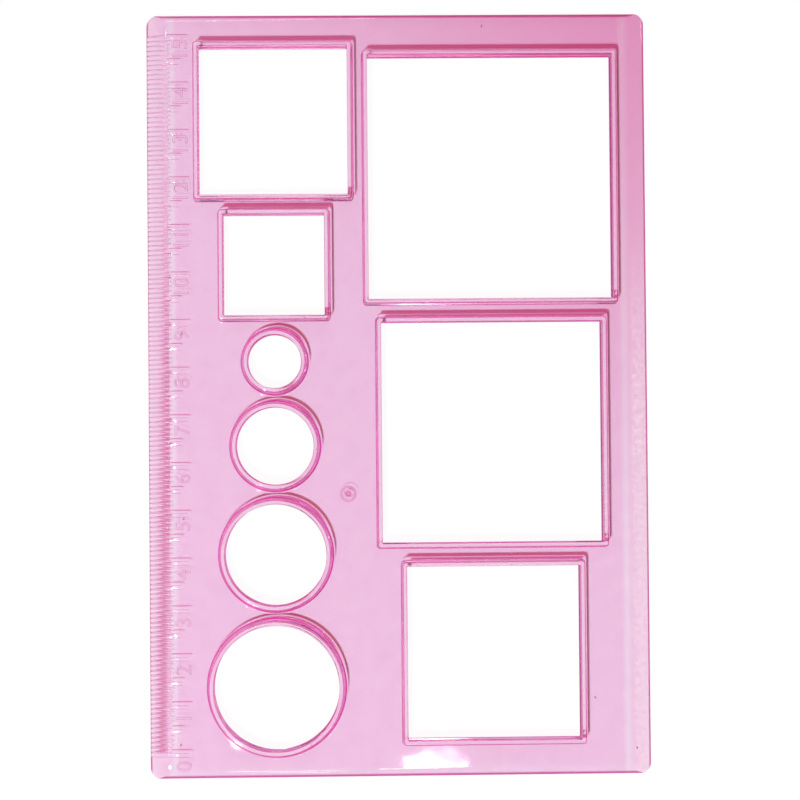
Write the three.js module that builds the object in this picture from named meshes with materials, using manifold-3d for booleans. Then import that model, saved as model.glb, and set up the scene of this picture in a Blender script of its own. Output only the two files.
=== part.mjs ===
// Clear craft template: a flat web with nine collared openings for drawing and coiling paper,
// a ruler moulded along one bevelled edge, and a plain bevel along the other.
// Millimetres, +Z up. Origin: middle of the underside. +Y runs along the ruler, towards its high end.
// The object is one moulding. Each named mesh is one of its features, and they meet on flat planes.

import * as THREE from 'three';
import { mergeVertices } from 'three/addons/utils/BufferGeometryUtils.js';
import Module from 'manifold-3d';

const wasm = await Module();
wasm.setup();

// Plate
const PLATE_THICKNESS = 2.0;
const RIM_THICKNESS = 0.8; // what the bevels leave at the outline
const CORNER_RADIUS = 2.5;
const BEVEL_WIDTH = 4.8; // along both long sides
const CREASE_ROUND = 0.5; // how far the softened crease reaches each way from the sharp one
const END_ROUND = 1.4; // width of the rounded edge at both short ends
const HIGH_END_LAND = 5.1; // from the end by the ruler's last mark to the nearest collar
const ZERO_END_LAND = 3.9; // from the end by the ruler's zero to the nearest collar

// Nominal sizes of the openings. Each is cut a little larger.
const OPENING_ALLOWANCE = 1.2;
const SMALLEST_SQUARE = 20;
const SMALL_SQUARE = 30;
const MIDDLE_SQUARE = 35;
const LARGE_SQUARE = 45;
const LARGEST_SQUARE = 50;
const SMALLEST_ROUND = 10;
const SMALL_ROUND = 15;
const LARGE_ROUND = 20;
const LARGEST_ROUND = 25;

// The two columns of openings, listed from the ruler's high end down
const SCALE_SIDE_OPENINGS = [
  { collar: 'square_collar_30', form: 'square', nominal: SMALL_SQUARE },
  { collar: 'square_collar_20', form: 'square', nominal: SMALLEST_SQUARE },
  { collar: 'round_collar_10', form: 'round', nominal: SMALLEST_ROUND },
  { collar: 'round_collar_15', form: 'round', nominal: SMALL_ROUND },
  { collar: 'round_collar_20', form: 'round', nominal: LARGE_ROUND },
  { collar: 'round_collar_25', form: 'round', nominal: LARGEST_ROUND },
];
const PLAIN_SIDE_OPENINGS = [
  { collar: 'square_collar_50', form: 'square', nominal: LARGEST_SQUARE },
  { collar: 'square_collar_45', form: 'square', nominal: LARGE_SQUARE },
  { collar: 'square_collar_35', form: 'square', nominal: MIDDLE_SQUARE },
];

// Collars that stand round the openings
const COLLAR_HEIGHT = 3.0; // above the plate
const COLLAR_WALL = 1.4; // at the rim
const COLLAR_TAPER = 0.1; // how much thicker the wall is at its foot
const COLLAR_RIM_ROUND = 0.3;
const COLLAR_FOOT_FILLET = 0.4;
const COLLAR_INNER_CORNER = 0.2; // corner radius of a square opening
const COLLAR_OUTER_CORNER = 0.8; // corner radius outside a square collar

// Clear strips of plate left between collar feet, and from a foot to an edge strip
const SCALE_SIDE_CLEAR = 0.2;
const PLAIN_SIDE_CLEAR = 1.0;
const COLUMN_CLEAR = 0.4;
const SCALE_EDGE_CLEAR = 0.5;
const PLAIN_EDGE_CLEAR = 0.2;

// Ruler: raised ticks across the bevel, longer every fifth and tenth
const SCALE_LENGTH = 150;
const SCALE_END_LAND = 5.0; // from the plate's end to the ruler's zero
const TICK_PITCH = 1.0;
const MIDDLE_TICK_EVERY = 5;
const LONG_TICK_EVERY = 10;
const TICK_WIDTH = 0.45;
const TICK_HEIGHT = 0.15;
const TICK_INSET = 0.25; // from the outline to where a tick begins
const TICK_REACH = 4.3; // from the outline to the end of a short tick
const FIFTH_TICK_REACH = 6.8;
const TENTH_TICK_REACH = 8.4;
const SCALE_STRIP_LAND = 0.2; // past the longest tick

// Gate mark of the moulding: a shallow ring with a pip in it
const GATE_RING_DIAMETER = 3.4;
const GATE_RING_WIDTH = 0.4;
const GATE_RING_HEIGHT = 0.2;
const GATE_FLOOR_HEIGHT = 0.08;
const GATE_PIP_DIAMETER = 0.9;
const GATE_PIP_HEIGHT = 0.35;
const GATE_INSET = 2.3; // from the scale side's collars, towards the ruler

// Facets
const ROUND_SIDES = 44;
const GATE_SIDES = 20;
const CORNER_STEPS = 3;
const ARC_STEPS = 2;
const OUTLINE_STEPS = 8;
const PAST = 1; // how far a cutting shape runs past what it cuts

// Layout worked out from the sizes above
const openingSize = ({ nominal }) => nominal + OPENING_ALLOWANCE;
const collarReach = COLLAR_WALL + COLLAR_TAPER + COLLAR_FOOT_FILLET;
const widest = (openings) => Math.max(...openings.map(openingSize));

function columnLength(openings, clear) {
  const cuts = openings.reduce((sum, opening) => sum + openingSize(opening), 0);
  return cuts + openings.length * 2 * collarReach + (openings.length - 1) * clear;
}

const plateLength = Math.max(
  SCALE_LENGTH + 2 * SCALE_END_LAND,
  columnLength(SCALE_SIDE_OPENINGS, SCALE_SIDE_CLEAR) + HIGH_END_LAND + ZERO_END_LAND,
  columnLength(PLAIN_SIDE_OPENINGS, PLAIN_SIDE_CLEAR) + HIGH_END_LAND + ZERO_END_LAND,
);
const scaleStripWidth = Math.max(TENTH_TICK_REACH + SCALE_STRIP_LAND, BEVEL_WIDTH + CREASE_ROUND);
const plainStripWidth = BEVEL_WIDTH + CREASE_ROUND;
const scaleColumnWidth = widest(SCALE_SIDE_OPENINGS) + 2 * collarReach;
const plainColumnWidth = widest(PLAIN_SIDE_OPENINGS) + 2 * collarReach;
const scaleSideWidth = scaleStripWidth + SCALE_EDGE_CLEAR + scaleColumnWidth;
const plainSideWidth = plainStripWidth + PLAIN_EDGE_CLEAR + plainColumnWidth;
const plateWidth = scaleSideWidth + COLUMN_CLEAR + plainSideWidth;

const scaleOutlineX = -plateWidth / 2;
const plainOutlineX = plateWidth / 2;
const scaleJointX = scaleOutlineX + scaleStripWidth;
const plainJointX = plainOutlineX - plainStripWidth;
const scaleColumnX = scaleJointX + SCALE_EDGE_CLEAR + scaleColumnWidth / 2;
const plainColumnX = plainJointX - PLAIN_EDGE_CLEAR - plainColumnWidth / 2;

const columnMiddleY = (ZERO_END_LAND - HIGH_END_LAND) / 2;
const scaleZeroY = SCALE_END_LAND - plateLength / 2;

// Stacks a column's openings down the plate, centred on what the end lands leave.
function placeColumn(openings, columnX, clear) {
  let top = columnMiddleY + columnLength(openings, clear) / 2;
  return openings.map((opening) => {
    const size = openingSize(opening);
    const y = top - collarReach - size / 2;
    top -= size + 2 * collarReach + clear;
    return { ...opening, size, x: columnX, y };
  });
}

const scaleColumn = placeColumn(SCALE_SIDE_OPENINGS, scaleColumnX, SCALE_SIDE_CLEAR);
const plainColumn = placeColumn(PLAIN_SIDE_OPENINGS, plainColumnX, PLAIN_SIDE_CLEAR);
const openings = [...scaleColumn, ...plainColumn];

// Solids for cutting and joining

function toSolid(geometry) {
  const bare = geometry.clone();
  bare.deleteAttribute('normal');
  bare.deleteAttribute('uv');
  const merged = mergeVertices(bare, 1e-5);
  return new wasm.Manifold(
    new wasm.Mesh({
      numProp: 3,
      vertProperties: new Float32Array(merged.attributes.position.array),
      triVerts: new Uint32Array(merged.index.array),
    }),
  );
}

function toGeometry(solid) {
  const { vertProperties, triVerts } = solid.getMesh();
  const geometry = new THREE.BufferGeometry();
  geometry.setAttribute('position', new THREE.BufferAttribute(vertProperties, 3));
  geometry.setIndex(new THREE.BufferAttribute(triVerts, 1));
  geometry.computeVertexNormals();
  return geometry;
}

function extrude(shape, depth, curveSegments) {
  return new THREE.ExtrudeGeometry(shape, { depth, curveSegments, bevelEnabled: false });
}

// A shape drawn in X and Z, run along Y between two stations.
function alongY(shape, fromY, toY, curveSegments) {
  const geometry = extrude(shape, toY - fromY, curveSegments);
  geometry.rotateX(Math.PI / 2);
  geometry.translate(0, toY, 0);
  return toSolid(geometry);
}

// A shape drawn in Y and Z, run along X between two stations.
function alongX(shape, fromX, toX, curveSegments) {
  const geometry = extrude(shape, toX - fromX, curveSegments);
  geometry.rotateX(Math.PI / 2);
  geometry.rotateZ(Math.PI / 2);
  geometry.translate(fromX, 0, 0);
  return toSolid(geometry);
}

function slab(fromX, toX) {
  const height = PLATE_THICKNESS + 2 * PAST;
  const geometry = new THREE.BoxGeometry(toX - fromX, plateLength + 2 * PAST, height);
  geometry.translate((fromX + toX) / 2, 0, PLATE_THICKNESS / 2);
  return toSolid(geometry);
}

// Plate

// Section across the plate: thin at both long sides, with a soft crease where each bevel meets the flat.
function sectionAcross() {
  const half = plateWidth / 2;
  const creaseX = half - BEVEL_WIDTH;
  const slope = (PLATE_THICKNESS - RIM_THICKNESS) / BEVEL_WIDTH;
  const bevelZ = PLATE_THICKNESS - slope * CREASE_ROUND;
  const shape = new THREE.Shape();
  shape.moveTo(-half, 0);
  shape.lineTo(half, 0);
  shape.lineTo(half, RIM_THICKNESS);
  shape.lineTo(creaseX + CREASE_ROUND, bevelZ);
  shape.quadraticCurveTo(creaseX, PLATE_THICKNESS, creaseX - CREASE_ROUND, PLATE_THICKNESS);
  shape.lineTo(-creaseX + CREASE_ROUND, PLATE_THICKNESS);
  shape.quadraticCurveTo(-creaseX, PLATE_THICKNESS, -creaseX - CREASE_ROUND, bevelZ);
  shape.lineTo(-half, RIM_THICKNESS);
  shape.closePath();
  return shape;
}

// Section along the plate: rounded over at both short ends.
function sectionAlong() {
  const half = plateLength / 2;
  const flatEnd = half - END_ROUND;
  const rise = PLATE_THICKNESS - RIM_THICKNESS;
  const shape = new THREE.Shape();
  shape.moveTo(-half, 0);
  shape.lineTo(half, 0);
  shape.lineTo(half, RIM_THICKNESS);
  shape.absellipse(flatEnd, RIM_THICKNESS, END_ROUND, rise, 0, Math.PI / 2, false, 0);
  shape.lineTo(-flatEnd, PLATE_THICKNESS);
  shape.absellipse(-flatEnd, RIM_THICKNESS, END_ROUND, rise, Math.PI / 2, Math.PI, false, 0);
  shape.closePath();
  return shape;
}

function plateOutline() {
  const x = plateWidth / 2;
  const y = plateLength / 2;
  const r = CORNER_RADIUS;
  const shape = new THREE.Shape();
  shape.moveTo(-x + r, -y);
  shape.lineTo(x - r, -y);
  shape.absarc(x - r, -y + r, r, -Math.PI / 2, 0, false);
  shape.lineTo(x, y - r);
  shape.absarc(x - r, y - r, r, 0, Math.PI / 2, false);
  shape.lineTo(-x + r, y);
  shape.absarc(-x + r, y - r, r, Math.PI / 2, Math.PI, false);
  shape.lineTo(-x, -y + r);
  shape.absarc(-x + r, -y + r, r, Math.PI, Math.PI * 1.5, false);
  return shape;
}

function plateBody() {
  const across = alongY(sectionAcross(), -plateLength / 2 - PAST, plateLength / 2 + PAST, ARC_STEPS);
  const along = alongX(sectionAlong(), -plateWidth / 2 - PAST, plateWidth / 2 + PAST, ARC_STEPS * 2);
  const outline = extrude(plateOutline(), PLATE_THICKNESS + 2 * PAST, OUTLINE_STEPS);
  outline.translate(0, 0, -PAST);
  return across.intersect(along).intersect(toSolid(outline));
}

// Openings and collars

// Points round an opening, moved outwards from its wall by a distance.
function openingRing({ form, size, x, y }, outwards) {
  const half = size / 2 + outwards;
  if (form === 'round') {
    return Array.from({ length: ROUND_SIDES }, (_, i) => {
      const angle = (i / ROUND_SIDES) * 2 * Math.PI;
      return [x + half * Math.cos(angle), y + half * Math.sin(angle)];
    });
  }
  const share = outwards / (COLLAR_WALL + COLLAR_TAPER);
  const radius = COLLAR_INNER_CORNER + share * (COLLAR_OUTER_CORNER - COLLAR_INNER_CORNER);
  const points = [];
  for (let corner = 0; corner < 4; corner += 1) {
    const middle = Math.PI / 4 + (corner * Math.PI) / 2;
    const centreX = x + Math.SQRT2 * Math.cos(middle) * (half - radius);
    const centreY = y + Math.SQRT2 * Math.sin(middle) * (half - radius);
    for (let step = 0; step <= CORNER_STEPS; step += 1) {
      const angle = middle + (step / CORNER_STEPS - 0.5) * (Math.PI / 2);
      points.push([centreX + radius * Math.cos(angle), centreY + radius * Math.sin(angle)]);
    }
  }
  return points;
}

// Section of a collar wall as pairs of distance out from the opening and height,
// from the inner foot over the rim and down to the outer foot.
function collarSection() {
  const top = PLATE_THICKNESS + COLLAR_HEIGHT;
  const foot = COLLAR_WALL + COLLAR_TAPER;
  const section = [[0, PLATE_THICKNESS]];
  for (let step = 0; step <= ARC_STEPS; step += 1) {
    const angle = Math.PI - (step / ARC_STEPS) * (Math.PI / 2);
    section.push([
      COLLAR_RIM_ROUND * (1 + Math.cos(angle)),
      top - COLLAR_RIM_ROUND * (1 - Math.sin(angle)),
    ]);
  }
  for (let step = 0; step <= ARC_STEPS; step += 1) {
    const angle = (1 - step / ARC_STEPS) * (Math.PI / 2);
    section.push([
      COLLAR_WALL - COLLAR_RIM_ROUND * (1 - Math.cos(angle)),
      top - COLLAR_RIM_ROUND * (1 - Math.sin(angle)),
    ]);
  }
  for (let step = 0; step <= ARC_STEPS; step += 1) {
    const angle = Math.PI + (step / ARC_STEPS) * (Math.PI / 2);
    section.push([
      foot + COLLAR_FOOT_FILLET * (1 + Math.cos(angle)),
      PLATE_THICKNESS + COLLAR_FOOT_FILLET * (1 + Math.sin(angle)),
    ]);
  }
  return section;
}

// Runs a closed section round an opening, as a ring with no ends.
function sweepRound(opening, section) {
  const rings = section.map(([outwards, z]) => openingRing(opening, outwards).map(([x, y]) => [x, y, z]));
  const count = rings[0].length;
  const triangles = [];
  rings.forEach((ring, i) => {
    const next = (i + 1) % rings.length;
    ring.forEach((_, j) => {
      const across = (j + 1) % count;
      const corners = [i * count + j, i * count + across, next * count + across, next * count + j];
      triangles.push(corners[0], corners[2], corners[1], corners[0], corners[3], corners[2]);
    });
  });
  const geometry = new THREE.BufferGeometry();
  geometry.setAttribute('position', new THREE.Float32BufferAttribute(rings.flat(2), 3));
  geometry.setIndex(triangles);
  geometry.computeVertexNormals();
  return geometry;
}

function openingCutter(opening) {
  const shape = new THREE.Shape(openingRing(opening, 0).map(([x, y]) => new THREE.Vector2(x, y)));
  const geometry = extrude(shape, PLATE_THICKNESS + 2 * PAST, 1);
  geometry.translate(0, 0, -PAST);
  return toSolid(geometry);
}

// Ruler

function tickReach(index) {
  if (index % LONG_TICK_EVERY === 0) return TENTH_TICK_REACH;
  return index % MIDDLE_TICK_EVERY === 0 ? FIFTH_TICK_REACH : TICK_REACH;
}

// One tick: a bar that follows the bevel, then the flat, and stands a little above both.
function tick(index) {
  const slope = (PLATE_THICKNESS - RIM_THICKNESS) / BEVEL_WIDTH;
  const surface = (fromOutline) => Math.min(RIM_THICKNESS + slope * fromOutline, PLATE_THICKNESS);
  const reach = tickReach(index);
  const bends = [TICK_INSET, BEVEL_WIDTH, reach].filter((station) => station <= reach);
  const shape = new THREE.Shape();
  shape.moveTo(scaleOutlineX + TICK_INSET, RIM_THICKNESS / 2);
  shape.lineTo(scaleOutlineX + reach, RIM_THICKNESS / 2);
  for (const station of bends.reverse()) {
    shape.lineTo(scaleOutlineX + station, surface(station) + TICK_HEIGHT);
  }
  shape.closePath();
  const y = scaleZeroY + index * TICK_PITCH;
  return alongY(shape, y - TICK_WIDTH / 2, y + TICK_WIDTH / 2, 1);
}

// Sub-parts

function webPlate(body) {
  let web = body.intersect(slab(scaleJointX, plainJointX));
  for (const opening of openings) web = web.subtract(openingCutter(opening));
  return toGeometry(web);
}

function scaleEdge(body) {
  let edge = body.intersect(slab(scaleOutlineX - PAST, scaleJointX));
  const tickCount = Math.floor(SCALE_LENGTH / TICK_PITCH) + 1;
  for (let index = 0; index < tickCount; index += 1) edge = edge.add(tick(index));
  return toGeometry(edge);
}

function plainEdge(body) {
  return toGeometry(body.intersect(slab(plainJointX, plainOutlineX + PAST)));
}

function gateMark() {
  const ring = GATE_RING_DIAMETER / 2;
  const well = ring - GATE_RING_WIDTH;
  const pip = GATE_PIP_DIAMETER / 2;
  const profile = [
    [0, 0],
    [ring, 0],
    [ring, GATE_RING_HEIGHT],
    [well, GATE_RING_HEIGHT],
    [well, GATE_FLOOR_HEIGHT],
    [pip, GATE_FLOOR_HEIGHT],
    [pip, GATE_PIP_HEIGHT],
    [0, GATE_PIP_HEIGHT],
  ];
  const points = profile.map(([r, z]) => new THREE.Vector2(r, z));
  const geometry = new THREE.LatheGeometry(points, GATE_SIDES);
  geometry.rotateX(Math.PI / 2);
  return toGeometry(toSolid(geometry));
}

// Assembly

const CLEAR_PINK = 0xeebce0;
const GLOSS_ROUGHNESS = 0.12;

function clearPlastic() {
  return new THREE.MeshStandardMaterial({ color: CLEAR_PINK, roughness: GLOSS_ROUGHNESS, metalness: 0 });
}

const group = new THREE.Group();

function place(name, geometry) {
  const mesh = new THREE.Mesh(geometry, clearPlastic());
  mesh.name = name;
  group.add(mesh);
  return mesh;
}

const body = plateBody();
place('web_plate', webPlate(body));
place('scale_edge', scaleEdge(body));
place('plain_edge', plainEdge(body));

const section = collarSection();
for (const opening of openings) {
  place(opening.collar, sweepRound(opening, section));
}

// The gate mark is level with the neck below the second smallest round collar.
const smallRound = scaleColumn.find(({ collar }) => collar === 'round_collar_15');
const neckY = smallRound.y - smallRound.size / 2 - collarReach - SCALE_SIDE_CLEAR / 2;
const gate = place('gate_mark', gateMark());
gate.position.set(scaleColumnX + scaleColumnWidth / 2 - GATE_INSET, neckY, PLATE_THICKNESS);

export default group;
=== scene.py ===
"""Looks of a clear craft template: one tinted moulding with nine collared openings and a moulded ruler.

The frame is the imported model's: metres, +Z up, the underside on the floor. Shapes are drawn in millimetres
and turned into metres once, when a piece is finished.
"""
import logging
import math
from dataclasses import dataclass
from enum import Enum
from typing import Any

import bmesh
import bpy
from mathutils import Matrix, Vector


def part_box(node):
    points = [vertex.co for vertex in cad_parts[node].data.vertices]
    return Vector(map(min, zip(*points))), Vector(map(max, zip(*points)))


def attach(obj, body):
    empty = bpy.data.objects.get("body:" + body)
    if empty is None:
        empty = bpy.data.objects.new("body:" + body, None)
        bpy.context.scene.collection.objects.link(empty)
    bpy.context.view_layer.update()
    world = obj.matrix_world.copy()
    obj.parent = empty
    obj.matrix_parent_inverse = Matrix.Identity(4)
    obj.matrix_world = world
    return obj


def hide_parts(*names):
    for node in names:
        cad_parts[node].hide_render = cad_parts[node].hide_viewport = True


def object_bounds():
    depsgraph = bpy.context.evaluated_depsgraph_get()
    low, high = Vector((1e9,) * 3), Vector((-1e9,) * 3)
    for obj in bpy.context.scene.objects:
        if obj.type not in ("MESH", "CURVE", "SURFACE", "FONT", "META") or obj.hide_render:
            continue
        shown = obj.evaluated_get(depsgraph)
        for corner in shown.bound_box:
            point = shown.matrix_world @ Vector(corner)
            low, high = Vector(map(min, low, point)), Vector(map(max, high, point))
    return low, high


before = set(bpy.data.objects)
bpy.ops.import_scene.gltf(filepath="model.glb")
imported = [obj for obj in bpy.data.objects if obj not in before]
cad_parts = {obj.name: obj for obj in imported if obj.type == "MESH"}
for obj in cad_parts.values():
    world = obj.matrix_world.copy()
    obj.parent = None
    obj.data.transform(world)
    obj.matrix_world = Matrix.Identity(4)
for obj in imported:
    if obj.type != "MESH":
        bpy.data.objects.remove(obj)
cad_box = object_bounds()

log = logging.getLogger("craft_template")

MM = 0.001
BODY = "root"
GATE_NODE = "gate_mark"
WHITE = (1, 1, 1, 1)

# Ways out from an arc's centre, in degrees
RIGHT, UP, LEFT, DOWN = 0, 90, 180, 270
QUARTER, WHOLE = 90, 360

# The Mix node's sockets for colours, which have the same names as its sockets for other kinds
MIX_FIRST, MIX_SECOND, MIX_RESULT = 6, 7, 2

Ring = list[Vector]
Pair = tuple[float, float]
Triple = tuple[float, float, float]
Colour = Triple
Tree = bpy.types.NodeTree
Socket = bpy.types.NodeSocket


def node_box(name: str) -> tuple[Vector, Vector]:
    """Gives a CAD node's box in millimetres.

    Args:
        name: The node's name.

    Returns:
        The lowest and the highest corner.
    """
    low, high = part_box(name)
    return low / MM, high / MM


def arc(centre: Pair, radius: float, start: float, end: float, steps: int) -> list[Pair]:
    """Points along an arc in a flat section.

    Args:
        centre: Where the arc's centre is.
        radius: The arc's radius.
        start: The first angle, in degrees.
        end: The last angle, in degrees.
        steps: How many chords stand for the arc.

    Returns:
        The points, both ends included.
    """
    angles = [math.radians(start + (end - start) * step / steps) for step in range(steps + 1)]
    return [(centre[0] + radius * math.cos(a), centre[1] + radius * math.sin(a)) for a in angles]


def rounded_box(low: Pair, high: Pair, radius: float, steps: int) -> list[Pair]:
    """Points round a box with rounded corners.

    Args:
        low: The centre of the lower left corner's arc.
        high: The centre of the upper right corner's arc.
        radius: The corners' radius.
        steps: How many chords stand for each corner.

    Returns:
        The points, anticlockwise.
    """
    points = []
    for turn, centre in enumerate((high, (low[0], high[1]), low, (high[0], low[1]))):
        points += arc(centre, radius, turn * QUARTER, (turn + 1) * QUARTER, steps)
    return points


def add_node(tree: Tree, kind: str, settings: dict[str, Any] | None = None,
             inputs: dict[str | int, Any] | None = None) -> bpy.types.Node:
    """Adds a node to a tree, sets it and links it.

    Args:
        tree: The node tree.
        kind: The node's type name.
        settings: The node's own properties.
        inputs: For each input, by name or number, either a socket to link or a value.

    Returns:
        The new node.
    """
    node = tree.nodes.new(kind)
    for key, value in (settings or {}).items():
        setattr(node, key, value)
    for key, value in (inputs or {}).items():
        if isinstance(value, Socket):
            tree.links.new(value, node.inputs[key])
        else:
            node.inputs[key].default_value = value
    return node


def math_node(tree: Tree, operation: str, *values: Any) -> Socket:
    """Adds a Math node.

    Args:
        tree: The node tree.
        operation: The sum that the node does.
        values: A socket or a number for each input, in order.

    Returns:
        The node's result.
    """
    return add_node(tree, "ShaderNodeMath", {"operation": operation}, dict(enumerate(values))).outputs[0]


def split(tree: Tree, vector: Socket) -> list[Socket]:
    """Adds a node that gives a vector's X, Y and Z."""
    return list(add_node(tree, "ShaderNodeSeparateXYZ", None, {0: vector}).outputs)


def dot(tree: Tree, vector: Socket, way: Triple) -> Socket:
    """Adds a node that gives how far a vector goes along a direction."""
    settings = {"operation": "DOT_PRODUCT"}
    return add_node(tree, "ShaderNodeVectorMath", settings, {0: vector, 1: way}).outputs["Value"]


def ramp(tree: Tree, value: Socket, between: Pair, onto: Pair = (0.0, 1.0), smooth: bool = False) -> Socket:
    """Adds a Map Range node, whose result stays the same before its range and after it.

    Args:
        tree: The node tree.
        value: What is measured.
        between: Where the result starts to change and where it is done.
        onto: The first and the last result.
        smooth: Whether the change eases in and out.

    Returns:
        The node's result.
    """
    settings = {"interpolation_type": "SMOOTHSTEP" if smooth else "LINEAR"}
    limits = dict(zip(("From Min", "From Max", "To Min", "To Max"), (*between, *onto)))
    return add_node(tree, "ShaderNodeMapRange", settings, {"Value": value, **limits}).outputs[0]


def blend(tree: Tree, share: Socket, first: Any, second: Any) -> Socket:
    """Adds a Mix node for colours.

    Args:
        tree: The node tree.
        share: How much of the second colour shows.
        first: A socket or a plain colour.
        second: A socket or a plain colour.

    Returns:
        The mixed colour.
    """
    start, end = (c if isinstance(c, Socket) else (*c, 1) for c in (first, second))
    inputs = {"Factor": share, MIX_FIRST: start, MIX_SECOND: end}
    return add_node(tree, "ShaderNodeMix", {"data_type": "RGBA"}, inputs).outputs[MIX_RESULT]


def mix_shaders(tree: Tree, share: Socket, first: bpy.types.Node, second: bpy.types.Node) -> bpy.types.Node:
    """Adds a Mix Shader node, whose share is how much of the second shader shows."""
    inputs = {0: share, 1: first.outputs[0], 2: second.outputs[0]}
    return add_node(tree, "ShaderNodeMixShader", None, inputs)


@dataclass(frozen=True)
class Grain:
    """A noise, by how fine it is."""

    scale: float
    detail: float
    roughness: float = 0.5

    def add(self, tree: Tree, place: Socket) -> Socket:
        """Adds the noise to a tree."""
        inputs = {"Vector": place, "Scale": self.scale, "Detail": self.detail, "Roughness": self.roughness}
        return add_node(tree, "ShaderNodeTexNoise", None, inputs).outputs["Fac"]


class Solid:
    """A closed mesh in millimetres, kept as a Blender object while it is joined and cut."""

    def __init__(self, name: str, mesh: bpy.types.Mesh) -> None:
        """Puts a mesh into the scene."""
        self.thing = bpy.data.objects.new(name, mesh)
        bpy.context.scene.collection.objects.link(self.thing)

    @classmethod
    def lofted(cls, name: str, stacks: list[list[Ring]]) -> "Solid":
        """Joins stacks of rings into closed bodies, one for each stack.

        Args:
            name: The solid's name.
            stacks: For each body, its rings from one end to the other, with as many points each.

        Returns:
            The solid.
        """
        shape = bmesh.new()
        for rings in stacks:
            loops = [[shape.verts.new(point) for point in ring] for ring in rings]
            count = len(loops[0])
            for lower, upper in zip(loops, loops[1:]):
                for i in range(count):
                    j = (i + 1) % count
                    shape.faces.new((lower[i], lower[j], upper[j], upper[i]))
            shape.faces.new(loops[0][::-1])
            shape.faces.new(loops[-1])
        bmesh.ops.recalc_face_normals(shape, faces=shape.faces)
        mesh = bpy.data.meshes.new(name)
        shape.to_mesh(mesh)
        shape.free()
        return cls(name, mesh)

    @classmethod
    def prism(cls, name: str, outline: Ring, along: Vector) -> "Solid":
        """Runs a flat outline along a straight line."""
        return cls.lofted(name, [[outline, [point + along for point in outline]]])

    def freeze(self) -> None:
        """Replaces the mesh by what the modifiers make of it."""
        graph = bpy.context.evaluated_depsgraph_get()
        made = bpy.data.meshes.new_from_object(self.thing.evaluated_get(graph), depsgraph=graph)
        self.thing.modifiers.clear()
        before = self.thing.data
        self.thing.data = made
        bpy.data.meshes.remove(before)

    def discard(self) -> None:
        """Takes the solid out of the scene."""
        mesh = self.thing.data
        bpy.data.objects.remove(self.thing)
        bpy.data.meshes.remove(mesh)

    def _combine(self, other: "Solid", operation: str) -> "Solid":
        """Combines with another solid, which is used up.

        Args:
            other: The other solid.
            operation: What the Boolean modifier does.

        Returns:
            This solid.
        """
        modifier = self.thing.modifiers.new(operation.lower(), "BOOLEAN")
        modifier.operation = operation
        modifier.solver = "MANIFOLD"
        modifier.object = other.thing
        self.freeze()
        other.discard()
        return self

    def join(self, other: "Solid") -> "Solid":
        """Adds another solid, which is used up."""
        return self._combine(other, "UNION")

    def cut(self, other: "Solid") -> "Solid":
        """Takes another solid away, which is used up."""
        return self._combine(other, "DIFFERENCE")

    def meet(self, other: "Solid") -> "Solid":
        """Keeps only what lies in another solid too, which is used up."""
        return self._combine(other, "INTERSECT")

    def open_edges(self) -> int:
        """Counts the edges that don't have exactly two faces.

        Returns:
            The count, which is 0 for a closed solid.
        """
        shape = bmesh.new()
        shape.from_mesh(self.thing.data)
        count = sum(not edge.is_manifold for edge in shape.edges)
        shape.free()
        return count


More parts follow.
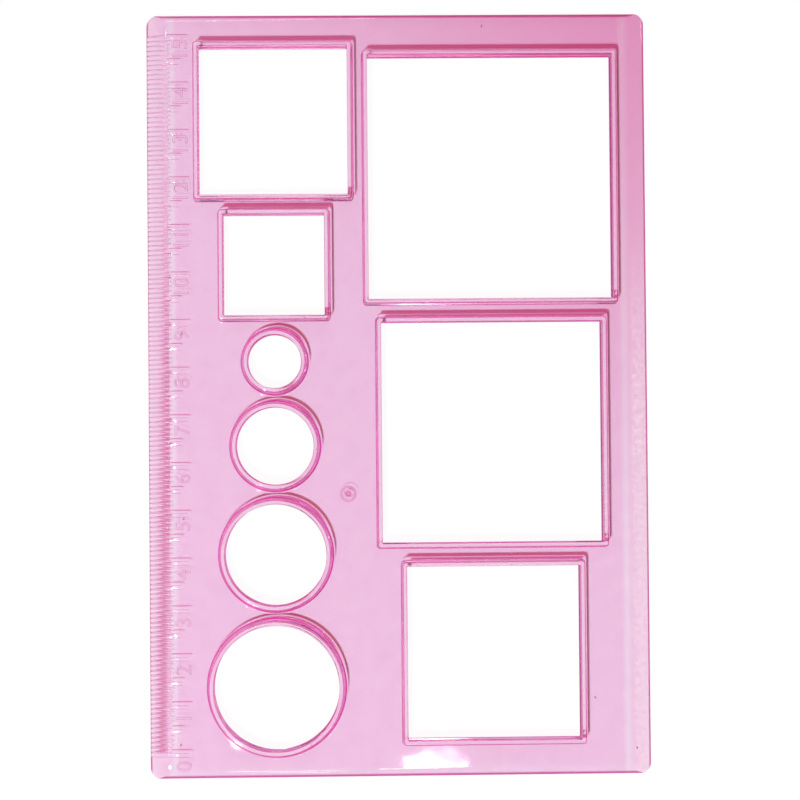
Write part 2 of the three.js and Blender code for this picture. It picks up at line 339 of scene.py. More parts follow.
@dataclass(frozen=True)
class Plate:
    """The plate, whole: bevelled along both long sides and rounded over at both short ends."""

    low: Vector
    high: Vector
    thickness: float = 2.0
    rim: float = 0.8
    corner: float = 2.5
    bevel: float = 4.1
    crease: float = 0.3
    brink: float = 0.7
    end_round: float = 1.8
    past: float = 1.0
    steps: int = 8

    @property
    def slope(self) -> float:
        """How much the bevel rises for each millimetre from the outline."""
        return (self.thickness - self.rim) / self.bevel

    def _eased(self, start: Pair, corner: Pair, end: Pair) -> list[Pair]:
        """Points along a curve that rounds a section's corner.

        Args:
            start: Where the curve leaves the first side.
            corner: Where the two sides would meet.
            end: Where the curve joins the second side.

        Returns:
            The points, both ends included.
        """
        first, middle, last = Vector(start), Vector(corner), Vector(end)
        shares = [step / self.steps for step in range(self.steps + 1)]
        return [tuple(first * (1 - t) ** 2 + middle * 2 * t * (1 - t) + last * t ** 2) for t in shares]

    def _across(self) -> list[Pair]:
        """Draws the section across the plate.

        Returns:
            Its points, in X and Z.
        """
        right = self.high.x
        crease_x = right - self.bevel
        brink = self._eased((right, self.rim - self.brink), (right, self.rim),
                            (right - self.brink, self.rim + self.slope * self.brink))
        crease = self._eased((crease_x + self.crease, self.thickness - self.slope * self.crease),
                             (crease_x, self.thickness), (crease_x - self.crease, self.thickness))
        half = [(right, 0.0), *brink, *crease]
        return half + [(self.low.x + self.high.x - x, z) for x, z in reversed(half)]

    def _along(self) -> list[Pair]:
        """Draws the section along the plate.

        Returns:
            Its points, in Y and Z.
        """
        flat_end = self.high.y - self.end_round
        rise = self.thickness - self.rim
        curve = [(flat_end + self.end_round * x, self.rim + rise * z)
                 for x, z in arc((0, 0), 1, RIGHT, UP, 2 * self.steps)]
        half = [(self.high.y, 0.0), *curve]
        return half + [(self.low.y + self.high.y - y, z) for y, z in reversed(half)]

    def _outline(self) -> list[Pair]:
        """Draws the outline from above.

        Returns:
            Its points, in X and Y.
        """
        low = (self.low.x + self.corner, self.low.y + self.corner)
        high = (self.high.x - self.corner, self.high.y - self.corner)
        return rounded_box(low, high, self.corner, 2 * self.steps)

    def build(self) -> Solid:
        """Makes the plate's body.

        Returns:
            The plate, with no openings in it.
        """
        start = self.low - Vector.Fill(3, self.past)
        span = self.high - self.low + Vector.Fill(3, 2 * self.past)
        across = [Vector((x, start.y, z)) for x, z in self._across()]
        along = [Vector((start.x, y, z)) for y, z in self._along()]
        outline = [Vector((x, y, start.z)) for x, y in self._outline()]
        body = Solid.prism("plate_across", across, Vector((0, span.y, 0)))
        body.meet(Solid.prism("plate_along", along, Vector((span.x, 0, 0))))
        return body.meet(Solid.prism("plate_outline", outline, Vector((0, 0, span.z))))


class Form(Enum):
    """The forms of opening."""

    SQUARE = "square"
    ROUND = "round"


@dataclass(frozen=True)
class CollarWall:
    """The wall that stands round every opening, as sizes of its section.

    node_reach is how far the CAD node's foot reaches from the opening. bite, root and past are overlaps, so
    that no face lies on another where solids are joined or cut.
    """

    foot_z: float = 2.0
    rim_z: float = 5.0
    wall: float = 1.0
    taper: float = 0.1
    outer_round: float = 0.38
    inner_round: float = 0.12
    foot_fillet: float = 0.28
    node_reach: float = 1.9
    under_round: float = 0.12
    inner_corner: float = 0.2
    outer_corner: float = 0.8
    bite: float = 0.01
    root: float = 0.5
    past: float = 1.0
    steps: int = 6

    @property
    def foot(self) -> float:
        """The wall's thickness at its foot."""
        return self.wall + self.taper

    @property
    def reach(self) -> float:
        """How far the foot's fillet reaches from the opening."""
        return self.foot + self.foot_fillet

    def outside(self) -> list[Pair]:
        """Draws the outer side, from inside the plate up to the rim.

        Returns:
            Its points, as distance from the opening and height.
        """
        fillet_z = self.foot_z + self.foot_fillet - self.bite
        fillet = arc((self.reach, fillet_z), self.foot_fillet, DOWN, LEFT, self.steps)
        rim_at = (self.wall - self.outer_round, self.rim_z - self.outer_round)
        rim = arc(rim_at, self.outer_round, RIGHT, UP, self.steps)
        return [(self.reach, self.foot_z - self.root), *fillet, *rim]

    def inside(self) -> list[Pair]:
        """Draws the inner side, from below the plate to above the rim.

        Returns:
            Its points, as distance from the opening and height.
        """
        under_at = (self.under_round, self.under_round - self.bite)
        under = arc(under_at, self.under_round, DOWN, LEFT, self.steps)
        rim_at = (self.inner_round, self.rim_z - self.inner_round + self.bite)
        rim = arc(rim_at, self.inner_round, LEFT, UP, self.steps)
        return [(self.under_round, -self.past), *under, *rim, (self.inner_round, self.rim_z + self.past)]


@dataclass(frozen=True)
class CollaredOpening:
    """One opening with its collar, placed and sized by its CAD node."""

    node: str
    form: Form
    wall: CollarWall
    round_sides: int = 128
    corner_steps: int = 8

    @property
    def centre(self) -> Vector:
        """The opening's middle."""
        low, high = node_box(self.node)
        return (low + high) / 2

    @property
    def half(self) -> float:
        """Half of the opening's width."""
        low, high = node_box(self.node)
        return (high.x - low.x) / 2 - self.wall.node_reach

    def ring(self, outwards: float, z: float) -> Ring:
        """Points round the opening.

        Args:
            outwards: How far the points lie outside the opening's wall.
            z: Their height.

        Returns:
            The points, anticlockwise from above.
        """
        middle, half = self.centre, self.half + outwards
        if self.form is Form.ROUND:
            flat = arc((middle.x, middle.y), half, RIGHT, WHOLE, self.round_sides)[:-1]
        else:
            share = outwards / self.wall.foot
            radius = self.wall.inner_corner + share * (self.wall.outer_corner - self.wall.inner_corner)
            reach = half - radius
            low, high = (middle.x - reach, middle.y - reach), (middle.x + reach, middle.y + reach)
            flat = rounded_box(low, high, radius, self.corner_steps)
        return [Vector((x, y, z)) for x, y in flat]

    def drum(self) -> list[Ring]:
        """The rings of the collar's outer side."""
        return [self.ring(outwards, z) for outwards, z in self.wall.outside()]

    def core(self) -> list[Ring]:
        """The rings of what the opening takes away."""
        return [self.ring(outwards, z) for outwards, z in self.wall.inside()]


@dataclass(frozen=True)
class RulerTicks:
    """The ruler's raised ticks: low half-round ridges that lie on the bevel and run on to the flat."""

    plate: Plate
    pitch: float = 1.0
    count: int = 151
    end_land: float = 5.0
    middle_every: int = 5
    long_every: int = 10
    inset: float = 0.25
    reach: float = 4.6
    middle_reach: float = 6.8
    long_reach: float = 8.4
    width: float = 0.88
    height: float = 0.15
    sides: int = 12
    stations: int = 5
    taper: float = 0.15

    def tick_y(self, index: int) -> float:
        """Where a tick lies along the plate."""
        return self.plate.low.y + self.end_land + index * self.pitch

    def _sizes(self) -> dict[str, tuple[str, Any]]:
        """Lists the tree's inputs.

        Returns:
            For each name its socket type and its value.
        """
        number, whole = "NodeSocketFloat", "NodeSocketInt"
        return {
            "Zero": ("NodeSocketVector", (self.plate.low.x, self.tick_y(0), 0.0)),
            "Pitch": (number, self.pitch),
            "Count": (whole, self.count),
            "Middle Every": (whole, self.middle_every),
            "Long Every": (whole, self.long_every),
            "Inset": (number, self.inset),
            "Short Reach": (number, self.reach),
            "Middle Reach": (number, self.middle_reach),
            "Long Reach": (number, self.long_reach),
            "Width": (number, self.width),
            "Height": (number, self.height),
            "Rim": (number, self.plate.rim),
            "Slope": (number, self.plate.slope),
            "Thickness": (number, self.plate.thickness),
            "Sides": (whole, self.sides),
            "Stations": (whole, self.stations),
            "Taper": (number, self.taper),
        }

    def _ridge(self, tree: Tree, sizes: bpy.types.Node, reach: str) -> Socket:
        """Adds the nodes of one length of tick.

        Args:
            tree: The node tree.
            sizes: The tree's input node.
            reach: The name of the input that gives the tick's length.

        Returns:
            The ridge's mesh.
        """
        start = add_node(tree, "ShaderNodeCombineXYZ", None, {"X": sizes.outputs["Inset"]})
        end = add_node(tree, "ShaderNodeCombineXYZ", None, {"X": sizes.outputs[reach]})
        line = add_node(tree, "GeometryNodeCurvePrimitiveLine", None,
                        {"Start": start.outputs[0], "End": end.outputs[0]})
        points = add_node(tree, "GeometryNodeResampleCurve", None,
                          {"Curve": line.outputs[0], "Count": sizes.outputs["Stations"]})
        position = add_node(tree, "GeometryNodeInputPosition")
        from_outline = split(tree, position.outputs[0])[0]
        rise = math_node(tree, "MULTIPLY_ADD", from_outline, sizes.outputs["Slope"], sizes.outputs["Rim"])
        surface = math_node(tree, "MINIMUM", rise, sizes.outputs["Thickness"])
        lift = add_node(tree, "ShaderNodeCombineXYZ", None, {"Z": surface})
        laid = add_node(tree, "GeometryNodeSetPosition", None,
                        {"Geometry": points.outputs[0], "Offset": lift.outputs[0]})
        upright = add_node(tree, "GeometryNodeSetCurveNormal", {"mode": "Z_UP"}, {"Curve": laid.outputs[0]})
        along = add_node(tree, "GeometryNodeSplineParameter").outputs["Factor"]
        fade = math_node(tree, "MULTIPLY", along, sizes.outputs["Taper"])
        tapered = add_node(tree, "GeometryNodeSetCurveRadius", None,
                           {"Curve": upright.outputs[0], "Radius": math_node(tree, "SUBTRACT", 1.0, fade)})
        half_width = math_node(tree, "MULTIPLY", sizes.outputs["Width"], 0.5)
        section_size = add_node(tree, "ShaderNodeCombineXYZ", None,
                                {"X": half_width, "Y": sizes.outputs["Height"], "Z": 1.0})
        circle = add_node(tree, "GeometryNodeCurvePrimitiveCircle", None,
                          {"Resolution": sizes.outputs["Sides"], "Radius": 1.0})
        section = add_node(tree, "GeometryNodeTransform", None,
                           {"Geometry": circle.outputs[0], "Scale": section_size.outputs[0]})
        inputs = {"Curve": tapered.outputs[0], "Profile Curve": section.outputs[0], "Fill Caps": True}
        return add_node(tree, "GeometryNodeCurveToMesh", None, inputs).outputs[0]

    def _tree(self, finish: bpy.types.Material) -> Tree:
        """Builds the node tree that lays out the ticks.

        Args:
            finish: The material that the ticks get.

        Returns:
            The node tree.
        """
        tree = bpy.data.node_groups.new("ruler_ticks", "GeometryNodeTree")
        tree.interface.new_socket("Geometry", in_out="OUTPUT", socket_type="NodeSocketGeometry")
        for name, (kind, _) in self._sizes().items():
            tree.interface.new_socket(name, in_out="INPUT", socket_type=kind)
        sizes = add_node(tree, "NodeGroupInput")
        step = add_node(tree, "ShaderNodeCombineXYZ", None, {"Y": sizes.outputs["Pitch"]})
        row = add_node(tree, "GeometryNodeMeshLine", {"mode": "OFFSET"},
                       {"Count": sizes.outputs["Count"], "Start Location": sizes.outputs["Zero"],
                        "Offset": step.outputs[0]})
        index = add_node(tree, "GeometryNodeInputIndex").outputs[0]
        past_long = math_node(tree, "MODULO", index, sizes.outputs["Long Every"])
        past_middle = math_node(tree, "MODULO", index, sizes.outputs["Middle Every"])
        # The remainders are whole numbers, so a half tells none from some
        not_long = math_node(tree, "GREATER_THAN", past_long, 0.5)
        is_long = math_node(tree, "SUBTRACT", 1.0, not_long)
        is_short = math_node(tree, "GREATER_THAN", past_middle, 0.5)
        is_middle = math_node(tree, "SUBTRACT", not_long, is_short)
        ticks = add_node(tree, "GeometryNodeJoinGeometry")
        kinds = {"Short Reach": is_short, "Middle Reach": is_middle, "Long Reach": is_long}
        for reach, chosen in kinds.items():
            placed = add_node(tree, "GeometryNodeInstanceOnPoints", None,
                              {"Points": row.outputs[0], "Selection": chosen,
                               "Instance": self._ridge(tree, sizes, reach)})
            tree.links.new(placed.outputs[0], ticks.inputs[0])
        real = add_node(tree, "GeometryNodeRealizeInstances", None, {"Geometry": ticks.outputs[0]})
        dressed = add_node(tree, "GeometryNodeSetMaterial", None,
                           {"Geometry": real.outputs[0], "Material": finish})
        add_node(tree, "NodeGroupOutput", None, {"Geometry": dressed.outputs[0]})
        return tree

    def build(self, finish: bpy.types.Material) -> Solid:
        """Makes all the ticks.

        Args:
            finish: The material that the ticks get.

        Returns:
            One solid with a body for each tick.
        """
        ticks = Solid("ruler_ticks", bpy.data.meshes.new("ruler_ticks"))
        modifier = ticks.thing.modifiers.new("ruler_ticks", "NODES")
        modifier.node_group = self._tree(finish)
        values = self._sizes()
        for item in modifier.node_group.interface.items_tree:
            if item.in_out == "INPUT":
                modifier[item.identifier] = values[item.name][1]
        ticks.freeze()
        return ticks


@dataclass(frozen=True)
class RulerNumerals:
    """The ruler's plain numerals, raised from the plate and read from the plain edge's side."""

    ticks: RulerTicks
    glyph_height: float = 3.2
    outline_gap: float = 5.5
    below_tick: float = 2.3
    relief: float = 0.16
    side: float = 0.07
    root: float = 0.2
    curve_steps: int = 4
    weld: float = 0.001
    facing_up: float = 0.9

    def _glyphs(self, number: int) -> bpy.types.Mesh:
        """Makes one numeral, upright in X and Y, with its base line's middle at the origin.

        Args:
            number: The number that it shows.

        Returns:
            Its mesh, in the typeface's own size.
        """
        words = bpy.data.curves.new(f"numeral_{number}", "FONT")
        words.body = str(number)
        words.align_x = "CENTER"
        words.extrude = (self.relief - self.side + self.root) / 2
        words.resolution_u = self.curve_steps
        text = bpy.data.objects.new(words.name, words)
        bpy.context.scene.collection.objects.link(text)
        graph = bpy.context.evaluated_depsgraph_get()
        mesh = bpy.data.meshes.new_from_object(text.evaluated_get(graph), depsgraph=graph)
        bpy.data.objects.remove(text)
        bpy.data.curves.remove(words)
        return mesh

    def build(self) -> Solid:
        """Makes the numerals.

        Returns:
            One solid with a numeral for each long tick.
        """
        shape = bmesh.new()
        plate = self.ticks.plate
        last = (self.ticks.count - 1) // self.ticks.long_every
        middle_z = plate.thickness + (self.relief - self.side - self.root) / 2
        for number in range(last + 1):
            mesh = self._glyphs(number)
            tallest = max(vertex.co.y for vertex in mesh.vertices)
            growth = self.glyph_height / tallest
            base_x = plate.low.x + self.outline_gap + self.glyph_height
            y = self.ticks.tick_y(number * self.ticks.long_every) - self.below_tick
            mesh.transform(Matrix.Diagonal((growth, growth, 1, 1)))
            mesh.transform(Matrix.Translation((base_x, y, middle_z)) @ Matrix.Rotation(math.pi / 2, 4, "Z"))
            shape.from_mesh(mesh)
            bpy.data.meshes.remove(mesh)
        bmesh.ops.remove_doubles(shape, verts=shape.verts, dist=self.weld)
        bmesh.ops.recalc_face_normals(shape, faces=shape.faces)
        tops = [face for face in shape.faces if face.normal.z > self.facing_up]
        bmesh.ops.inset_region(shape, faces=tops, thickness=self.side, depth=self.side, use_even_offset=True)
        made = bpy.data.meshes.new("ruler_numerals")
        shape.to_mesh(made)
        shape.free()
        return Solid("ruler_numerals", made)


@dataclass(frozen=True)
class GateMark:
    """The mark that the mould's gate leaves on the plate: a shallow ring with a pip in it."""

    node: str
    ring_width: float = 0.45
    ring_height: float = 0.22
    well_height: float = 0.08
    pip_radius: float = 0.55
    pip_height: float = 0.5
    root: float = 0.3
    tip: float = 0.02
    sides: int = 48
    steps: int = 4

    def build(self) -> Solid:
        """Makes the mark.

        Returns:
            One round body, rooted in the plate.
        """
        low, high = node_box(self.node)
        middle, radius = (low + high) / 2, (high.x - low.x) / 2
        half_ring = self.ring_width / 2
        crest_at = radius - half_ring
        crest = [(crest_at + half_ring * x, self.ring_height * z)
                 for x, z in arc((0, 0), 1, RIGHT, LEFT, 2 * self.steps)]
        ring = [(r, z) for r, z in crest if r > crest_at or z > self.well_height]
        well = (radius - self.ring_width, self.well_height)
        dome = [(self.pip_radius * x, self.well_height + (self.pip_height - self.well_height) * z)
                for x, z in arc((0, 0), 1, RIGHT, UP, self.steps)]
        profile = [(radius, -self.root), *ring, well, *dome[:-1], (self.tip, self.pip_height)]
        flats = [arc((middle.x, middle.y), r, RIGHT, WHOLE, self.sides)[:-1] for r, _ in profile]
        rings = [[Vector((x, y, low.z + z)) for x, y in flat] for flat, (_, z) in zip(flats, profile)]
        return Solid.lofted("gate_mark_relief", [rings])


@dataclass(frozen=True)
class ClearPlastic:
    """Clear glossy plastic, tinted through, with a faint random unevenness of tone and with painted light
    and shade: painted shade deeper towards one corner and on slopes and edges, painted light on rims and a
    painted sheen on a frosted patch.

    A colour is what light keeps of itself at a surface. A pair says where something begins and where it is
    full, in metres on the template, as a part of a direction or as a part of a noise.
    """

    gate_at: Vector
    name: str = "clear_pink_plastic"

    # The body and its gloss
    ior: float = 1.57
    absorbed: Colour = (0.88, 0.08, 0.56)
    absorption: float = 14.0
    gloss: float = 0.015
    haze: float = 0.06
    haze_from: Pair = (0.35, 0.85)
    haze_grain: Grain = Grain(900.0, 2.0, 0.6)
    ripple: float = 0.03
    ripple_grain: Grain = Grain(110.0, 1.0, 0.4)

    # The flats' tint, with painted shade towards one corner and painted light on rims
    clear: Colour = (0.945, 0.765, 0.912)
    cloudy: Colour = (0.908, 0.705, 0.882)
    clouds: Pair = (0.35, 0.65)
    cloud_grain: Grain = Grain(260.0, 5.0, 0.65)
    thin: Colour = (0.97, 0.855, 0.94)
    thin_from: Pair = (0.0488, 0.0525)
    # Painted shade: the tint deepens towards one corner, where less light falls
    corner: Colour = (0.84, 0.42, 0.63)
    corner_way: Triple = (0.75, 0.66, 0.0)
    corner_from: Pair = (0.0, 0.1)
    # Painted light: rims paler than the plate, as if lit
    on_rims: Colour = (0.965, 0.84, 0.93)
    rims_from: Pair = (0.0046, 0.0049)

    # Small marks; the frost carries a painted sheen
    # A frosted patch, whose paleness is a painted sheen standing in for a lamp's reflection on it
    frost: Colour = (0.99, 0.95, 0.96)
    frost_x: Pair = (0.0484, 0.0494)
    frost_y: Pair = (0.035, 0.0)
    frost_grain: Grain = Grain(900.0, 3.0, 0.7)
    speck: Colour = (0.45, 0.16, 0.28)
    specks_below: Pair = (0.007, 0.004)
    speck_scale: float = 30.0
    # A deeper pink round the gate, towards the painted slope shade's colour
    gate_stain: float = 0.6
    stain_from: Pair = (0.0012, 0.0004)

    # Painted shade on fillets, rounded rims, ridges and outer edges: a deeper tint where light is lost
    on_slopes: Colour = (0.72, 0.06, 0.34)
    on_feet: Colour = (0.60, 0.004, 0.21)
    on_edges: Colour = (0.45, 0.035, 0.20)
    flat_to_steep: Pair = (0.92, 0.82)
    rim_to_steep: Pair = (0.98, 0.92)
    wall_to_steep: Pair = (0.15, 0.45)
    feet_below: Pair = (0.0035, 0.003)
    walls_above: Pair = (0.0035, 0.004)
    ruler_from: Pair = (0.0434, 0.0437)
    sides_from: Pair = (0.0512, 0.0516)
    ends_from: Pair = (0.0778, 0.0784)

    # What the lamps' light meets
    lit_through: Colour = (0.998, 0.888, 0.956)
    lit_by_lee: Colour = (0.70, 0.05, 0.28)
    lit_by_east_lee: Colour = (0.30, 0.0, 0.06)
    lit_by_bevel: Colour = (1.0, 1.0, 1.0)
    lee_way: Triple = (0.3, 0.954, 0.0)
    lee_from: Pair = (0.09, 0.28)
    east_from: Pair = (0.95, 1.0)
    front_from: Pair = (-0.6, -0.85)
    upper_from: Pair = (0.0027, 0.0031)
    faced_from: Pair = (-0.1, -0.3)
    bright_band: Pair = (0.0466, 0.0485)
    band_edge: float = 0.0005

    def _marks(self, tree: Tree, place: Socket, tint: Socket) -> Socket:
        """Adds the small marks: frost beside the plain edge with a painted sheen that makes it paler, a few
        specks and a deeper pink round the gate.

        Args:
            tree: The material's node tree.
            place: The place on the template.
            tint: The tint without the marks.

        Returns:
            The tint with the marks.
        """
        x, y, _ = split(tree, place)
        # Frost with a painted sheen: paler in a grainy patch beside the plain edge
        frost_and_sheen_area = math_node(tree, "MULTIPLY", ramp(tree, x, self.frost_x), ramp(tree, y, self.frost_y))
        crystals = ramp(tree, self.frost_grain.add(tree, place), self.clouds)
        frosted_and_sheened = blend(tree, math_node(tree, "MULTIPLY", frost_and_sheen_area, crystals), tint, self.frost)
        spots = add_node(tree, "ShaderNodeTexVoronoi", {"voronoi_dimensions": "2D"},
                         {"Vector": place, "Scale": self.speck_scale}).outputs["Distance"]
        speckled = blend(tree, ramp(tree, spots, self.specks_below), frosted_and_sheened, self.speck)
        from_gate = add_node(tree, "ShaderNodeVectorMath", {"operation": "DISTANCE"},
                             {0: place, 1: self.gate_at}).outputs["Value"]
        # Deeper pink round the gate, blended towards the painted slope shade's colour
        round_gate = ramp(tree, from_gate, self.stain_from, (0.0, self.gate_stain))
        return blend(tree, round_gate, speckled, self.on_slopes)

    def _flats(self, tree: Tree, place: Socket) -> Socket:
        """Adds the tint of flat faces: cloudy, paler along the sides, paler on rims by painted light, deeper
        towards one corner by painted shade.

        Args:
            tree: The material's node tree.
            place: The place on the template.

        Returns:
            The tint.
        """
        x, _, height = split(tree, place)
        cloud = ramp(tree, self.cloud_grain.add(tree, place), self.clouds)
        even = blend(tree, cloud, self.clear, self.cloudy)
        at_sides = ramp(tree, math_node(tree, "ABSOLUTE", x), self.thin_from)
        thinned = blend(tree, at_sides, even, self.thin)
        # Painted shade: deeper towards one corner
        painted_shade_share = ramp(tree, dot(tree, place, self.corner_way), self.corner_from, smooth=True)
        tone_and_painted_shade = blend(tree, painted_shade_share, thinned, self.corner)
        marked = self._marks(tree, place, tone_and_painted_shade)
        # Painted light: the rims' tops are made paler
        return blend(tree, ramp(tree, height, self.rims_from), marked, self.on_rims)

    def _edges(self, tree: Tree, place: Socket) -> Socket:
        """Adds a mask of the ruler and of the plate's outer edges, where the painted shade on slopes is
        deepest.

        Args:
            tree: The material's node tree.
            place: The place on the template.

        Returns:
            1 on the ruler and along the outline, 0 elsewhere.
        """
        x, y, _ = split(tree, place)
        left = ramp(tree, math_node(tree, "MULTIPLY", x, -1.0), self.ruler_from)
        sides = ramp(tree, math_node(tree, "ABSOLUTE", x), self.sides_from)
        ends = ramp(tree, math_node(tree, "ABSOLUTE", y), self.ends_from)
        return math_node(tree, "MAXIMUM", left, math_node(tree, "MAXIMUM", sides, ends))

    def _tint(self, tree: Tree, place: Socket) -> Socket:
        """Adds the tint of every face, with painted shade that makes it deeper on slopes than on flats and
        upright walls.

        Args:
            tree: The material's node tree.
            place: The place on the template.

        Returns:
            The tint.
        """
        height = split(tree, place)[2]
        normal = add_node(tree, "ShaderNodeNewGeometry").outputs["True Normal"]
        upright = math_node(tree, "ABSOLUTE", split(tree, normal)[2])
        high_up = ramp(tree, height, self.walls_above)
        on_rim = math_node(tree, "MULTIPLY", ramp(tree, upright, self.rim_to_steep), high_up)
        steep = math_node(tree, "MAXIMUM", ramp(tree, upright, self.flat_to_steep), on_rim)
        slope = math_node(tree, "MULTIPLY", steep, ramp(tree, upright, self.wall_to_steep))
        # Painted shade: slopes, feet and edges get a deeper tint than flats
        slope_shade = blend(tree, ramp(tree, height, self.feet_below), self.on_slopes, self.on_feet)
        deep = blend(tree, self._edges(tree, place), slope_shade, self.on_edges)
        return blend(tree, slope, self._flats(tree, place), deep)

    def _surface(self, tree: Tree) -> bpy.types.Node:
        """Adds the plastic's own shader.

        Args:
            tree: The material's node tree.

        Returns:
            The shader's node.
        """
        place = add_node(tree, "ShaderNodeTexCoord").outputs["Object"]
        rough = ramp(tree, self.haze_grain.add(tree, place), self.haze_from, (self.gloss, self.haze))
        wave = self.ripple_grain.add(tree, place)
        bump = add_node(tree, "ShaderNodeBump", None,
                        {"Strength": self.ripple, "Distance": MM, "Height": wave})
        return add_node(tree, "ShaderNodeBsdfPrincipled", None,
                        {"Base Color": self._tint(tree, place), "Roughness": rough, "IOR": self.ior,
                         "Transmission Weight": 1.0, "Normal": bump.outputs[0]})

    def _lamp_side(self, tree: Tree) -> bpy.types.Node:
        """Adds what lamps meet: clear, but dim where faces bend the light away.

        Those are the faces on the lee of walls and ridges, and the upper part of walls that face the main
        lamp.

        Args:
            tree: The material's node tree.

        Returns:
            The shader's node.
        """
        geometry = add_node(tree, "ShaderNodeNewGeometry").outputs
        facing = math_node(tree, "MULTIPLY_ADD", geometry["Backfacing"], -2.0, 1.0)
        outwards = add_node(tree, "ShaderNodeVectorMath", {"operation": "SCALE"},
                            {0: geometry["True Normal"], "Scale": facing}).outputs["Vector"]
        turned = dot(tree, outwards, self.lee_way)
        x, _, height = split(tree, add_node(tree, "ShaderNodeTexCoord").outputs["Object"])
        high_up = ramp(tree, height, self.upper_from)
        front = math_node(tree, "MULTIPLY", ramp(tree, turned, self.front_from), high_up)
        lee = math_node(tree, "MAXIMUM", ramp(tree, turned, self.lee_from), front)
        east = ramp(tree, split(tree, outwards)[0], self.east_from)
        sideways = math_node(tree, "ABSOLUTE", x)
        inner, outer = self.bright_band
        band = math_node(tree, "MULTIPLY", ramp(tree, sideways, (inner, inner + self.band_edge)),
                         ramp(tree, sideways, (outer, outer - self.band_edge)))
        bright = math_node(tree, "MAXIMUM", band, ramp(tree, turned, self.faced_from))
        clear = blend(tree, bright, self.lit_through, self.lit_by_bevel)
        dim = blend(tree, east, self.lit_by_lee, self.lit_by_east_lee)
        return add_node(tree, "ShaderNodeBsdfTransparent", None, {"Color": blend(tree, lee, clear, dim)})

    def build(self) -> bpy.types.Material:
        """Makes the material.

        Returns:
            The plastic as rays see it, and as lamps' light meets it.
        """
        material = bpy.data.materials.new(self.name)
        material.use_nodes = True
        tree = material.node_tree
        tree.nodes.clear()
        path = add_node(tree, "ShaderNodeLightPath").outputs
        surface = mix_shaders(tree, path["Is Shadow Ray"], self._surface(tree), self._lamp_side(tree))
        depth = add_node(tree, "ShaderNodeVolumeAbsorption", None,
                         {"Color": (*self.absorbed, 1), "Density": self.absorption})
        add_node(tree, "ShaderNodeOutputMaterial", None,
                 {"Surface": surface.outputs[0], "Volume": depth.outputs[0]})
        return material


@dataclass
class Template:
    """The whole template: one moulding that stands for every CAD node."""

    finish: ClearPlastic
    crisp_angle: float = 35.0
    round_foot: float = 0.9

    def openings(self) -> list[CollaredOpening]:
        """Finds the openings, whose foot fillet is wider where they are round.

        Returns:
            One opening for each collar in the frame.
        """
        walls = {Form.SQUARE: CollarWall(), Form.ROUND: CollarWall(foot_fillet=self.round_foot)}
        found = []
        for form in Form:
            names = sorted(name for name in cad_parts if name.startswith(f"{form.value}_collar"))
            found += [CollaredOpening(name, form, walls[form]) for name in names]
        return found

    def build(self) -> bpy.types.Object:
        """Makes the moulding, dresses it and gives it to the frame.

        Returns:
            The finished piece.
        """
        low, high = cad_box[0] / MM, cad_box[1] / MM
        material = self.finish.build()
        plate = Plate(low, high)
        openings = self.openings()
        ticks = RulerTicks(plate)
        body = plate.build()
        body.join(Solid.lofted("collars", [opening.drum() for opening in openings]))
        body.cut(Solid.lofted("openings", [opening.core() for opening in openings]))
        body.join(ticks.build(material))
        body.join(RulerNumerals(ticks).build())
        body.join(GateMark(GATE_NODE).build())
        log.info("moulding: %d open edges", body.open_edges())
        return self._finish(body, material)

    def _finish(self, body: Solid, material: bpy.types.Material) -> bpy.types.Object:
        """Turns the solid into a finished piece.

        Args:
            body: The moulding in millimetres.
            material: Its finish.

        Returns:
            The piece.
        """
        piece = body.thing
        piece.name = "template_moulding"
        mesh = piece.data
        mesh.transform(Matrix.Scale(MM, 4))
        mesh.materials.clear()
        mesh.materials.append(material)
        for face in mesh.polygons:
            face.material_index = 0
            face.use_smooth = True
        mesh.set_sharp_from_angle(angle=math.radians(self.crisp_angle))
        weighted = piece.modifiers.new("weighted", "WEIGHTED_NORMAL")
        weighted.keep_sharp = True
        body.freeze()
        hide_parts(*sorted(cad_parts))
        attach(piece, BODY)
        log.info("piece %s: %d faces", piece.name, len(piece.data.polygons))
        return piece


@dataclass(frozen=True)
class Lamp:
    """A soft rectangular lamp that hangs level above the template."""

    name: str
    at: Triple
    size: Pair
    share: float

    def build(self) -> None:
        """Hangs the lamp, so strong that it gives its share of the light that makes white paper white."""
        place = Vector(self.at)
        data = bpy.data.lights.new(self.name, "AREA")
        data.shape = "RECTANGLE"
        data.size, data.size_y = self.size
        data.energy = self.share * (math.pi * place.length_squared / place.z) ** 2
        lamp = bpy.data.objects.new(self.name, data)
        lamp.location = place
        lamp.visible_camera = False
        bpy.context.scene.collection.objects.link(lamp)


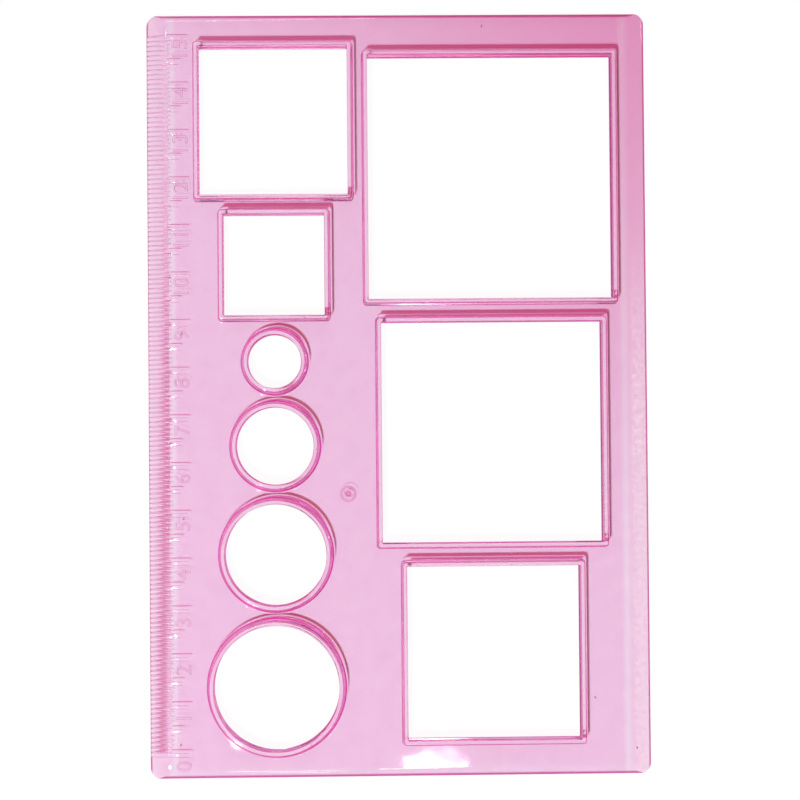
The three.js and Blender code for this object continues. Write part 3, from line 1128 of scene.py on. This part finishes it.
@dataclass(frozen=True)
class Studio:
    """The pale floor, the room's light and the lamps."""

    floor_side: float = 6.0
    floor_drop: float = 0.02 * MM
    paper: float = 0.95
    paper_spread: float = 0.01
    paper_grain: Grain = Grain(400.0, 2.0)
    seen_glow: float = 0.95
    through_glow: float = 0.05
    ceiling: float = 0.1
    ceiling_from: Pair = (0.12, 0.5)
    bright_side: float = 2.0
    dark_side: float = 0.05
    bright_way: Triple = (-0.6, 0.8, 0.0)
    bright_from: Pair = (-0.5, 0.7)
    in_walls: Colour = (0.62, 0.05, 0.32)
    lamps: tuple[Lamp, ...] = (
        Lamp("key_lamp", (-0.42, -0.7, 2.0), (0.12, 0.12), 0.905),
        Lamp("north_strip", (-0.06, 0.6, 0.8), (0.4, 0.04), 0.025),
        Lamp("west_softbox", (-0.46, 0.0, 0.7), (0.28, 0.6), 0.03),
        Lamp("north_west_lamp", (-0.325, 0.318, 1.0), (0.25, 0.063), 0.03),
        Lamp("south_lamp", (0.028, -0.205, 0.6), (0.032, 0.06), 0.013),
        Lamp("far_south_lamp", (-0.03, -0.42, 0.8), (0.1, 0.1), 0.02),
    )

    def _paper(self) -> bpy.types.Material:
        """Makes the floor's paper.

        It glows for the camera, and a little through the clear plastic. To mirror reflections it shows the
        deep pink of the light that walls throw on it. From below it is open.

        Returns:
            The material.
        """
        material = bpy.data.materials.new("floor_paper")
        material.use_nodes = True
        tree = material.node_tree
        tree.nodes.clear()
        place = add_node(tree, "ShaderNodeTexCoord").outputs["Object"]
        grain = self.paper_grain.add(tree, place)
        shade = ramp(tree, grain, (0.0, 1.0), (self.paper - self.paper_spread, self.paper))
        path = add_node(tree, "ShaderNodeLightPath").outputs
        matt = add_node(tree, "ShaderNodeBsdfDiffuse", None, {"Color": shade})
        pink = add_node(tree, "ShaderNodeEmission", None, {"Color": (*self.in_walls, 1), "Strength": 1.0})
        plain = mix_shaders(tree, path["Is Reflection Ray"], matt, pink)
        glow = add_node(tree, "ShaderNodeEmission", None, {"Color": WHITE, "Strength": 1.0})
        seen_share = math_node(tree, "MULTIPLY", path["Is Camera Ray"], self.seen_glow)
        share = math_node(tree, "MULTIPLY_ADD", path["Is Transmission Ray"], self.through_glow, seen_share)
        mixed = mix_shaders(tree, share, plain, glow)
        below = add_node(tree, "ShaderNodeNewGeometry").outputs["Backfacing"]
        one_sided = mix_shaders(tree, below, mixed, add_node(tree, "ShaderNodeBsdfTransparent"))
        add_node(tree, "ShaderNodeOutputMaterial", None, {"Surface": one_sided.outputs[0]})
        return material

    def _floor(self) -> None:
        """Lays the floor just under the template."""
        half = self.floor_side / 2
        corners = [(-half, -half), (half, -half), (half, half), (-half, half)]
        mesh = bpy.data.meshes.new("floor")
        mesh.from_pydata([(x, y, -self.floor_drop) for x, y in corners], [], [(0, 1, 2, 3)])
        mesh.materials.append(self._paper())
        floor = bpy.data.objects.new("floor", mesh)
        bpy.context.scene.collection.objects.link(floor)

    def _room(self) -> None:
        """Sets the room's light, which has a bright side, a dark side and a dim ceiling.

        The camera sees white instead, and so does a ray that left the plastic upwards.
        """
        world = bpy.data.worlds.new("studio_room")
        bpy.context.scene.world = world
        world.use_nodes = True
        tree = world.node_tree
        tree.nodes.clear()
        way = add_node(tree, "ShaderNodeTexCoord").outputs["Generated"]
        overhead = ramp(tree, split(tree, way)[2], self.ceiling_from, smooth=True)
        turn = dot(tree, way, self.bright_way)
        side = ramp(tree, turn, self.bright_from, (self.dark_side, self.bright_side), smooth=True)
        rise = math_node(tree, "SUBTRACT", self.ceiling, side)
        level = math_node(tree, "MULTIPLY_ADD", overhead, rise, side)
        path = add_node(tree, "ShaderNodeLightPath").outputs
        plain = add_node(tree, "ShaderNodeBackground", None, {"Color": WHITE, "Strength": level})
        white = add_node(tree, "ShaderNodeBackground", None, {"Color": WHITE, "Strength": 1.0})
        share = math_node(tree, "MULTIPLY_ADD", path["Is Transmission Ray"], overhead, path["Is Camera Ray"])
        mixed = mix_shaders(tree, share, plain, white)
        add_node(tree, "ShaderNodeOutputWorld", None, {"Surface": mixed.outputs[0]})

    def build(self) -> None:
        """Sets up the floor, the room and the lamps."""
        self._floor()
        self._room()
        for lamp in self.lamps:
            lamp.build()


@dataclass(frozen=True)
class PhotoCamera:
    """The camera, above the template and a little off its middle, with its tilt in degrees."""

    at: Triple = (-7.6 * MM, -8.73 * MM, 406.72 * MM)
    tilt: Triple = (1.059, -1.117, -0.47)
    lens: float = 86.87
    sensor: float = 36.0
    near: float = 0.01

    def build(self) -> None:
        """Sets the scene's camera."""
        data = bpy.data.cameras.new("photo_camera")
        data.lens = self.lens
        data.sensor_width = self.sensor
        data.clip_start = self.near
        camera = bpy.data.objects.new("photo_camera", data)
        turned = Matrix.Identity(4)
        for angle, axis in zip(self.tilt, "XYZ"):
            turned = turned @ Matrix.Rotation(math.radians(angle), 4, axis)
        camera.matrix_world = Matrix.Translation(self.at) @ turned
        bpy.context.scene.collection.objects.link(camera)
        bpy.context.scene.camera = camera


def set_light_paths(scene: bpy.types.Scene) -> None:
    """Lets light bounce long enough inside the clear walls, and lamps reach the floor without caustics.

    Args:
        scene: The scene to set.
    """
    scene.view_settings.view_transform = "Standard"
    scene.cycles.max_bounces = 32
    scene.cycles.transmission_bounces = 32
    scene.cycles.glossy_bounces = 16
    scene.cycles.diffuse_bounces = 4
    scene.cycles.caustics_refractive = False
    scene.cycles.caustics_reflective = False


def main() -> None:
    """Builds the template and what lights and sees it."""
    logging.basicConfig(level=logging.INFO, format="%(name)s: %(message)s")
    set_light_paths(bpy.context.scene)
    PhotoCamera().build()
    gate_low, gate_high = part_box(GATE_NODE)
    Template(ClearPlastic((gate_low + gate_high) / 2)).build()
    Studio().build()


if __name__ == "__main__":
    main()
